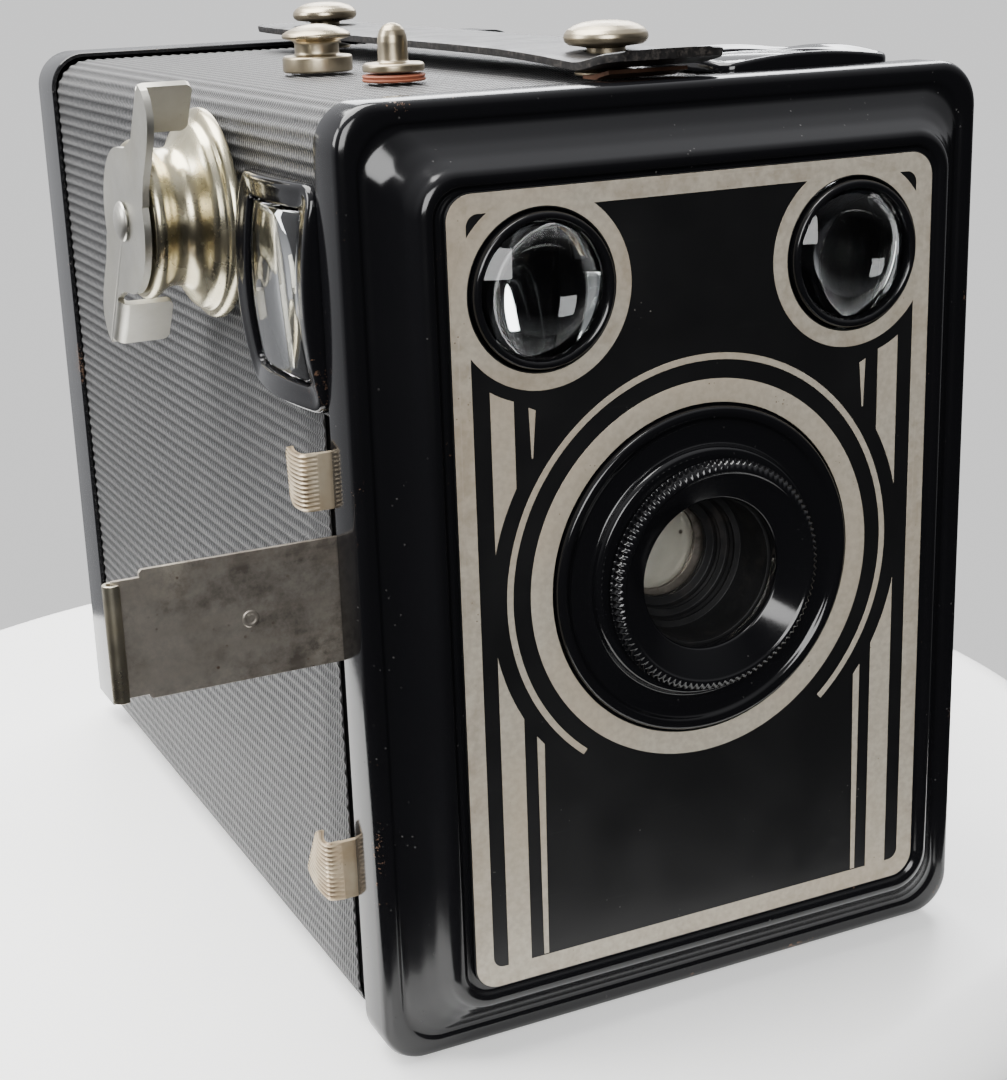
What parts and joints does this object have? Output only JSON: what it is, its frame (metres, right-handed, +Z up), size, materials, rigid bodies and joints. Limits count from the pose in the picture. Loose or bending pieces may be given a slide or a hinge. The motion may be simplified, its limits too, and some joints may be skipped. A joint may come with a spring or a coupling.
{
  "type": "box camera",
  "caption": "Box roll-film camera with front levers, filter slide, winder, spools, finder mirrors, strap and a hinged back that all move or part as the real ones do.",
  "frame": {"origin": "on the flat underside of the front frame, on the centre line", "axes": "+Z up, the lens looks along -Y, +X is to the right as seen from the front"},
  "size_m": [0.1042, 0.1345, 0.1137],
  "materials": {
    "enamel": "glossy black stoving enamel, worn at the edges",
    "plate_enamel": "black lacquer with a cream geometric pattern",
    "covering": "dark grey ribbed covering",
    "inner_black": "matt black inner paint",
    "nickel": "aged warm nickel plate",
    "steel": "dark tarnished steel",
    "blade": "light grey steel with small rust specks",
    "brass": "plain brass",
    "copper": "brown copper-coloured spring metal",
    "glass": "clear polished glass",
    "mirror": "silvered glass",
    "leather": "black leather with a fibrous cut edge",
    "fibre": "red-brown vulcanised fibre",
    "yellow_glass": "yellow filter glass",
    "red_window": "deep red transparent sheet",
    "spool_black": "black painted spool"
  },
  "bodies": {
    "camera_body": {"front_frame": "enamel", "lens_surround": "enamel", "hood_ring": "enamel", "finder_bezel_left": "enamel", "finder_bezel_right": "enamel", "side_window_frame": "enamel", "top_window_frame": "enamel", "face_plate": "plate_enamel", "body_covering": "covering", "lens_tube": "inner_black", "mirror_bracket_left": "inner_black", "mirror_bracket_right": "inner_black", "slide_channel": "inner_black", "shutter_board": "inner_black", "lens_retaining_ring": "inner_black", "body_shell": "inner_black", "film_cone": "inner_black", "film_gate": "inner_black", "carrier_side_left": "inner_black", "carrier_side_right": "inner_black", "shutter_spring": "nickel", "flash_stud": "nickel", "contact_pin": "nickel", "strap_stud_front": "nickel", "strap_stud_rear": "nickel", "tripod_bush_bottom": "steel", "tripod_bush_side": "steel", "hinge_bracket": "steel", "hinge_pin": "steel", "door_catch": "steel", "strap_plate": "copper", "finder_lens_left": "glass", "finder_lens_right": "glass", "side_window_glass": "glass", "top_window_glass": "glass", "meniscus_lens": "glass", "finder_mirror_left": "mirror", "finder_mirror_right": "mirror", "carrying_strap": "leather", "contact_washer": "fibre"},
    "filter_slide": {"filter_slide": "steel", "yellow_filter": "yellow_glass"},
    "release_lever": {"release_lever": "nickel"},
    "time_lever": {"time_lever": "nickel"},
    "shutter_disc": {"shutter_disc": "blade"},
    "winder_collar": {"winder_bush": "brass"},
    "winder": {"winder_drum": "nickel", "winder_key": "nickel", "winder_rivet": "nickel", "winder_shaft": "steel"},
    "take_up_spool": {"take_up_spool": "spool_black"},
    "feed_spool": {"feed_spool": "spool_black"},
    "film_roller_top": {"film_roller_top": "nickel"},
    "film_roller_bottom": {"film_roller_bottom": "nickel"},
    "rear_door": {"rear_door": "enamel", "red_window": "red_window", "red_window_ring": "enamel", "pressure_plate": "inner_black", "pressure_spring": "steel"}
  },
  "joints": [
    {"name": "filter_slide_travel", "type": "slide", "parent": "camera_body", "child": "filter_slide", "axis": [1, 0, 0], "range_m": [0, 0.023]},
    {"name": "release_lever_turn", "type": "hinge", "parent": "camera_body", "child": "release_lever", "pos_m": [-0.012, 0.005, 0.021], "axis": [0, -1, 0], "range_deg": [0, 14], "stiffness_Nm_per_rad": 0.02, "springref_deg": -28.65},
    {"name": "shutter_disc_turn", "type": "hinge", "parent": "camera_body", "child": "shutter_disc", "pos_m": [0, 0.00615, 0.028], "axis": [0, 1, 0], "range_deg": [0, 60]},
    {"name": "time_lever_turn", "type": "hinge", "parent": "camera_body", "child": "time_lever", "pos_m": [-0.014, 0.005, 0.0676], "axis": [0, -1, 0], "range_deg": [0, 8]},
    {"name": "winder_pull", "type": "slide", "parent": "camera_body", "child": "winder_collar", "axis": [-1, 0, 0], "range_m": [0, 0.006]},
    {"name": "winder_spin", "type": "hinge", "parent": "winder_collar", "child": "winder", "pos_m": [-0.044, 0.0383, 0.0922], "axis": [1, 0, 0], "continuous": true},
    {"name": "take_up_spool_spin", "type": "hinge", "parent": "camera_body", "child": "take_up_spool", "pos_m": [0, 0.0383, 0.0922], "axis": [1, 0, 0], "continuous": true},
    {"name": "feed_spool_spin", "type": "hinge", "parent": "camera_body", "child": "feed_spool", "pos_m": [0, 0.0383, 0.0158], "axis": [1, 0, 0], "continuous": true},
    {"name": "top_roller_spin", "type": "hinge", "parent": "camera_body", "child": "film_roller_top", "pos_m": [0, 0.1116, 0.1014], "axis": [1, 0, 0], "continuous": true},
    {"name": "bottom_roller_spin", "type": "hinge", "parent": "camera_body", "child": "film_roller_bottom", "pos_m": [0, 0.1116, 0.0066], "axis": [1, 0, 0], "continuous": true},
    {"name": "rear_door_swing", "type": "hinge", "parent": "camera_body", "child": "rear_door", "pos_m": [0, 0.1211, 0.0016], "axis": [-1, 0, 0], "range_deg": [0, 88]}
  ],
  "couplings": [
    {"joint": "shutter_disc_turn", "follows": "release_lever_turn", "ratio": 4.2857},
    {"joint": "winder_spin", "follows": "take_up_spool_spin", "ratio": 1}
  ]
}
